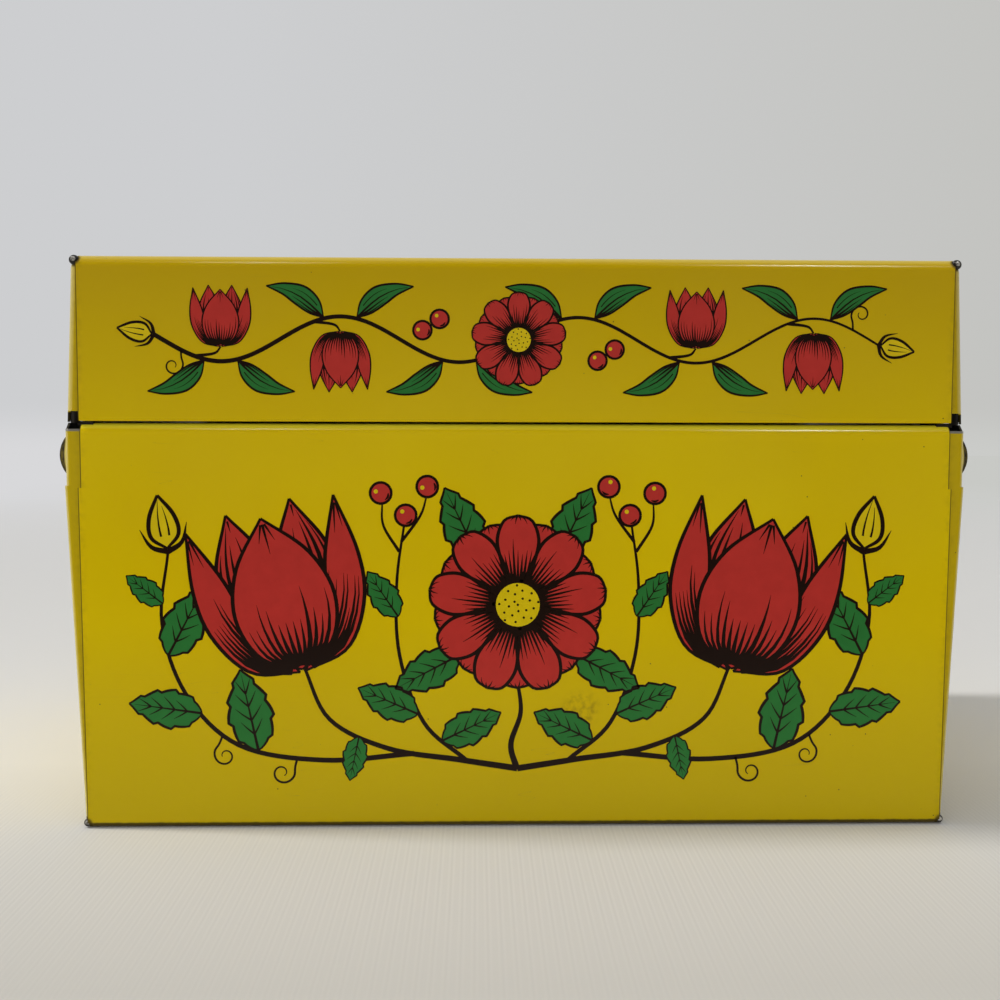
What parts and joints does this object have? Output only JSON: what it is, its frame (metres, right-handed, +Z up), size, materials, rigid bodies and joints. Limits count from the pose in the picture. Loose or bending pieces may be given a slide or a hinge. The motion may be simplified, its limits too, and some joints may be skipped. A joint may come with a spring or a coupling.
{
  "type": "recipe card box",
  "caption": "Hinged tinplate box for recipe cards: folded base and lid with flanged ends, a rolled rim and dimple pivots at the hinge wall.",
  "frame": {"origin": "on the floor below the middle of the closed box", "axes": "+X along the long side, +Z up, the hinge wall at -Y and the far wall at +Y"},
  "size_m": [0.142, 0.089, 0.0878],
  "materials": {
    "yellow_tinplate": "glossy lithographed enamel on tinplate",
    "bare_steel": "dull bare steel sheet"
  },
  "bodies": {
    "base": {"base_wrapper": "yellow_tinplate", "base_end_left": "yellow_tinplate", "base_end_right": "yellow_tinplate"},
    "lid": {"lid_wrapper": "yellow_tinplate", "lid_end_left": "yellow_tinplate", "lid_end_right": "yellow_tinplate", "hinge_ear_left": "bare_steel", "hinge_ear_right": "bare_steel"}
  },
  "joints": [
    {"name": "lid_hinge", "type": "hinge", "parent": "base", "child": "lid", "pos_m": [0, -0.0396, 0.0576], "axis": [1, 0, 0], "range_deg": [0, 93]}
  ]
}
